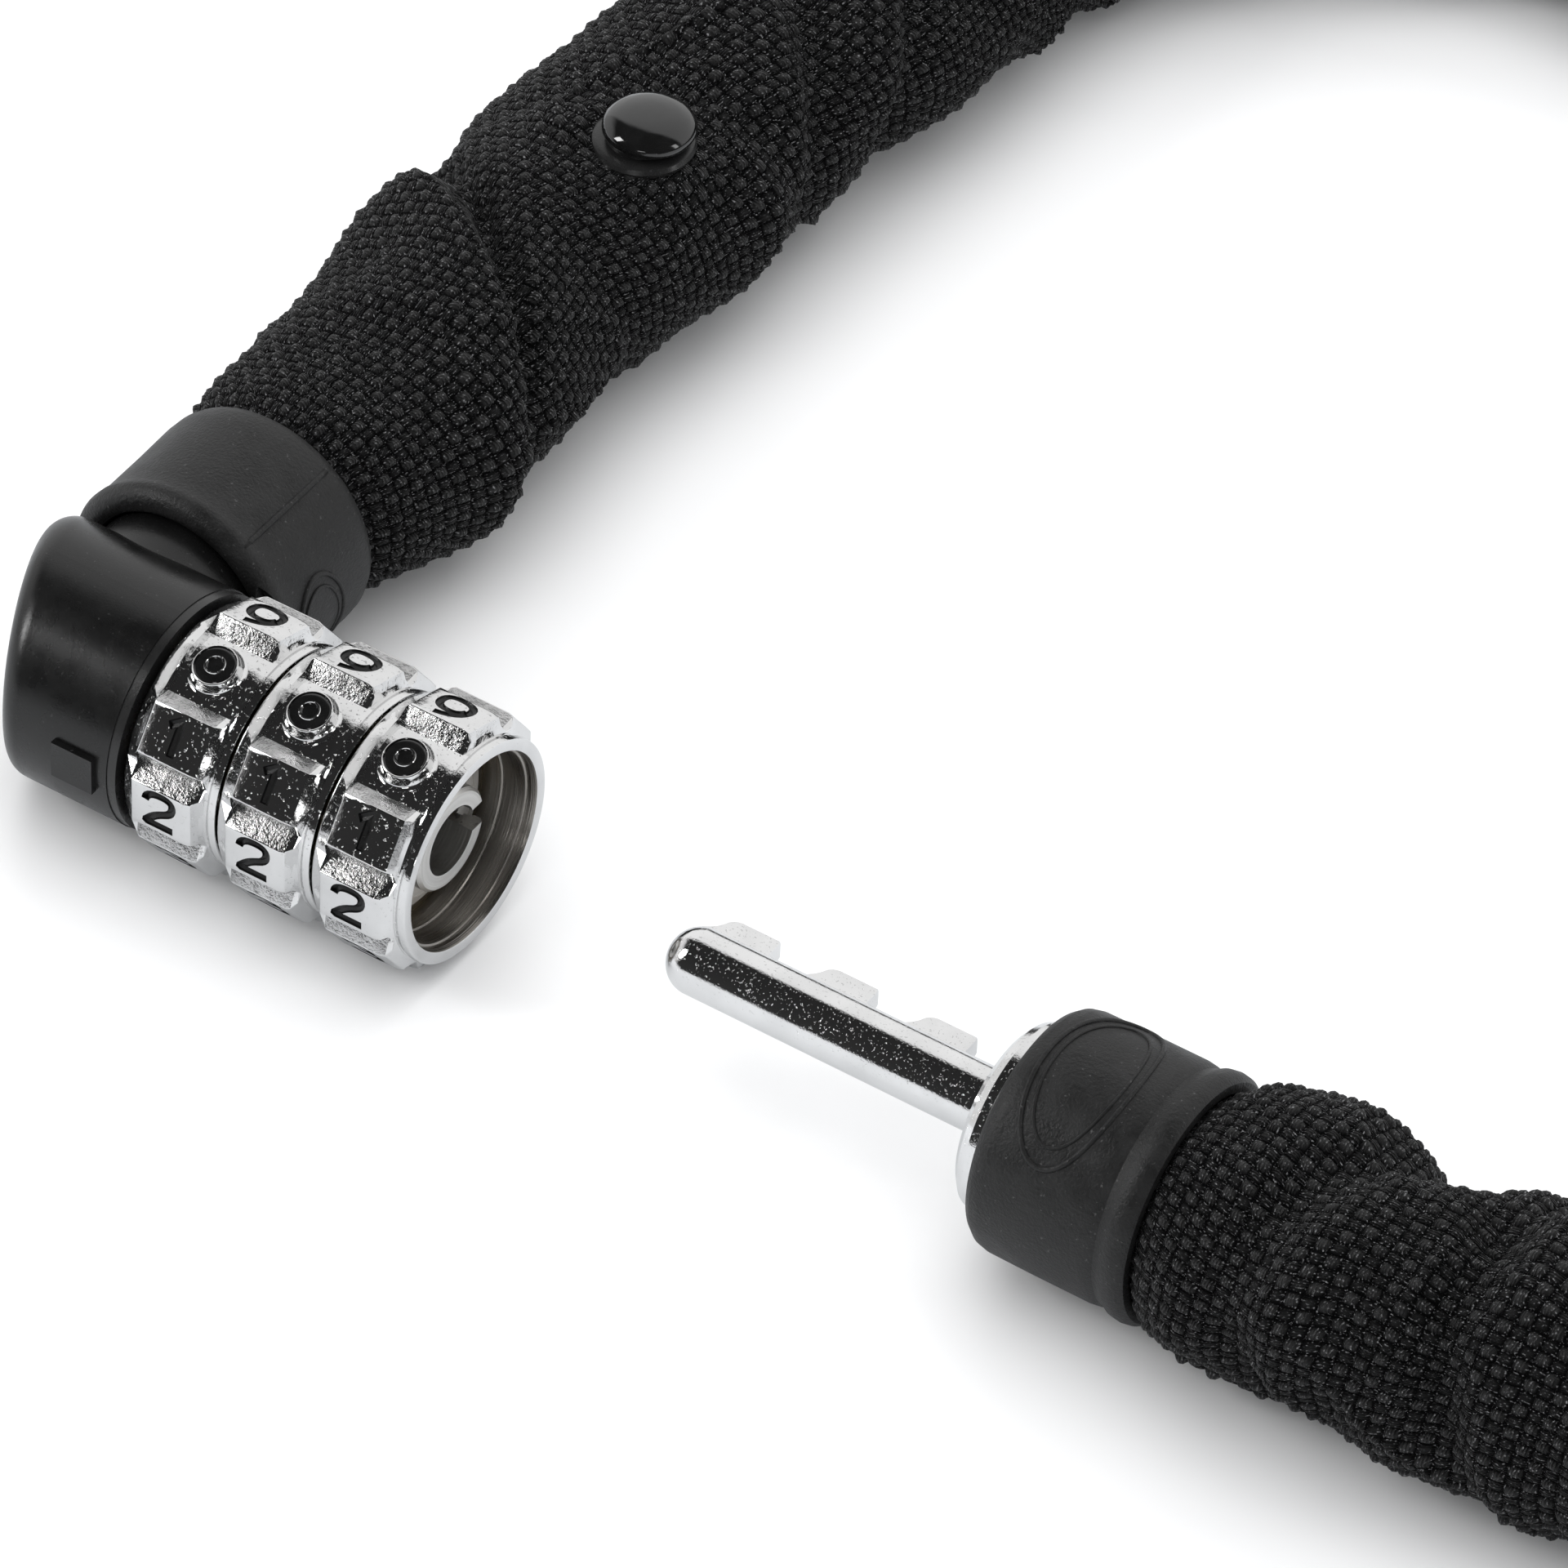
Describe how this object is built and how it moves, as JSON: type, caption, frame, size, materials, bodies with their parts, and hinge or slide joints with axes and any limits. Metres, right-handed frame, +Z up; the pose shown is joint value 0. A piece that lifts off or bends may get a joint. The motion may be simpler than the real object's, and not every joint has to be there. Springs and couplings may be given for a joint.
{
  "type": "chain combination lock",
  "caption": "Chain combination lock lying open: numbered dials on a black head, a toothed bolt drawn out of it, and a chain in a woven sleeve.",
  "frame": {"origin": "middle of the head's open mouth, on the lock axis, at the front face of the dials", "axes": "+X along the lock axis from the head to the bolt, +Y the way the sleeve leaves the head, +Z up from the surface the lock lies on"},
  "size_m": [0.2312, 0.202, 0.0244],
  "materials": {
    "housing_black": "satin black coating on a zinc casting",
    "black_plastic": "moulded",
    "dial_chrome": "bright chrome on a casting, black digits",
    "brass_disc": "stamped",
    "core_steel": "turned steel",
    "chain_steel": "zinc plated",
    "bolt_chrome": "bright chrome",
    "rubber_black": "matte moulded rubber",
    "sleeve_fabric": "coarse plain weave, black",
    "stud_gloss": "glossy black"
  },
  "bodies": {
    "head": {"housing": "housing_black", "index_marker": "black_plastic", "rear_ring": "black_plastic", "core_tube": "core_steel", "spacer_1": "brass_disc", "spacer_2": "brass_disc", "spacer_3": "brass_disc", "retaining_washer": "core_steel", "circlip": "core_steel", "detent_balls": "core_steel", "detent_springs": "core_steel", "anchor_pin": "core_steel", "head_collar": "rubber_black", "sleeve_root": "sleeve_fabric", "link_01": "chain_steel"},
    "number_ring_1": {"dial_1": "dial_chrome", "code_disc_1": "brass_disc"},
    "number_ring_2": {"dial_2": "dial_chrome", "code_disc_2": "brass_disc"},
    "number_ring_3": {"dial_3": "dial_chrome", "code_disc_3": "brass_disc"},
    "chain_1": {"sleeve_1": "sleeve_fabric", "link_02": "chain_steel", "link_03": "chain_steel", "link_04": "chain_steel", "stud_cap": "stud_gloss", "stud_post": "core_steel", "stud_back": "core_steel"},
    "chain_2": {"sleeve_2": "sleeve_fabric", "link_05": "chain_steel", "link_06": "chain_steel", "link_07": "chain_steel"},
    "chain_3": {"sleeve_3": "sleeve_fabric", "link_08": "chain_steel", "link_09": "chain_steel", "link_10": "chain_steel"},
    "chain_4": {"sleeve_4": "sleeve_fabric", "link_11": "chain_steel", "link_12": "chain_steel", "link_13": "chain_steel"},
    "chain_5": {"sleeve_5": "sleeve_fabric", "link_14": "chain_steel", "link_15": "chain_steel", "link_16": "chain_steel"},
    "chain_6": {"sleeve_6": "sleeve_fabric", "link_17": "chain_steel", "link_18": "chain_steel", "link_19": "chain_steel"},
    "chain_7": {"sleeve_7": "sleeve_fabric", "link_20": "chain_steel", "link_21": "chain_steel", "link_22": "chain_steel"},
    "bolt": {"bolt_pin": "bolt_chrome", "bolt_flange": "bolt_chrome", "bolt_clevis": "core_steel", "bolt_cross_pin": "core_steel", "bolt_collar": "rubber_black", "link_23": "chain_steel"}
  },
  "joints": [
    {"name": "dial_1_turn", "type": "hinge", "parent": "head", "child": "number_ring_1", "pos_m": [-0.02448, 0, 0], "axis": [1, 0, 0], "continuous": true},
    {"name": "dial_2_turn", "type": "hinge", "parent": "head", "child": "number_ring_2", "pos_m": [-0.01463, 0, 0], "axis": [1, 0, 0], "continuous": true},
    {"name": "dial_3_turn", "type": "hinge", "parent": "head", "child": "number_ring_3", "pos_m": [-0.00477, 0, 0], "axis": [1, 0, 0], "continuous": true},
    {"name": "bolt_slide", "type": "slide", "parent": "head", "child": "bolt", "axis": [1, 0, 0], "range_m": [-0.0554, 0]},
    {"name": "chain_1_bend", "type": "hinge", "parent": "head", "child": "chain_1", "pos_m": [-0.0394, 0.0388, 0], "axis": [0, 0, 1], "range_deg": [-1, 14.31]},
    {"name": "chain_2_bend", "type": "hinge", "parent": "chain_1", "child": "chain_2", "pos_m": [-0.0394, 0.109, 0], "axis": [0, 0, 1], "range_deg": [-5.17, 1]},
    {"name": "chain_3_bend", "type": "hinge", "parent": "chain_2", "child": "chain_3", "pos_m": [-0.00133, 0.17177, 0], "axis": [0, 0, 1], "range_deg": [-9.37, 1]},
    {"name": "chain_4_bend", "type": "hinge", "parent": "chain_3", "child": "chain_4", "pos_m": [0.06861, 0.175, 0], "axis": [0, 0, 1], "range_deg": [-5.81, 1]},
    {"name": "chain_5_bend", "type": "hinge", "parent": "chain_4", "child": "chain_5", "pos_m": [0.14443, 0.16171, 0], "axis": [0, 0, 1], "range_deg": [-7.48, 1]},
    {"name": "chain_6_bend", "type": "hinge", "parent": "chain_5", "child": "chain_6", "pos_m": [0.16485, 0.09717, 0], "axis": [0, 0, 1], "range_deg": [-2.31, 1]},
    {"name": "chain_7_bend", "type": "hinge", "parent": "chain_6", "child": "chain_7", "pos_m": [0.15504, 0.02026, 0], "axis": [0, 0, 1], "range_deg": [-1, 12.82]}
  ],
  "couplings": [
    {"joint": "chain_1_bend", "follows": "bolt_slide", "rad_per_m": -4.1936},
    {"joint": "chain_2_bend", "follows": "bolt_slide", "rad_per_m": 1.3139},
    {"joint": "chain_3_bend", "follows": "bolt_slide", "rad_per_m": 2.6358},
    {"joint": "chain_4_bend", "follows": "bolt_slide", "rad_per_m": 1.5139},
    {"joint": "chain_5_bend", "follows": "bolt_slide", "rad_per_m": 2.0417},
    {"joint": "chain_6_bend", "follows": "bolt_slide", "rad_per_m": 0.41158},
    {"joint": "chain_7_bend", "follows": "bolt_slide", "rad_per_m": -3.7233}
  ]
}
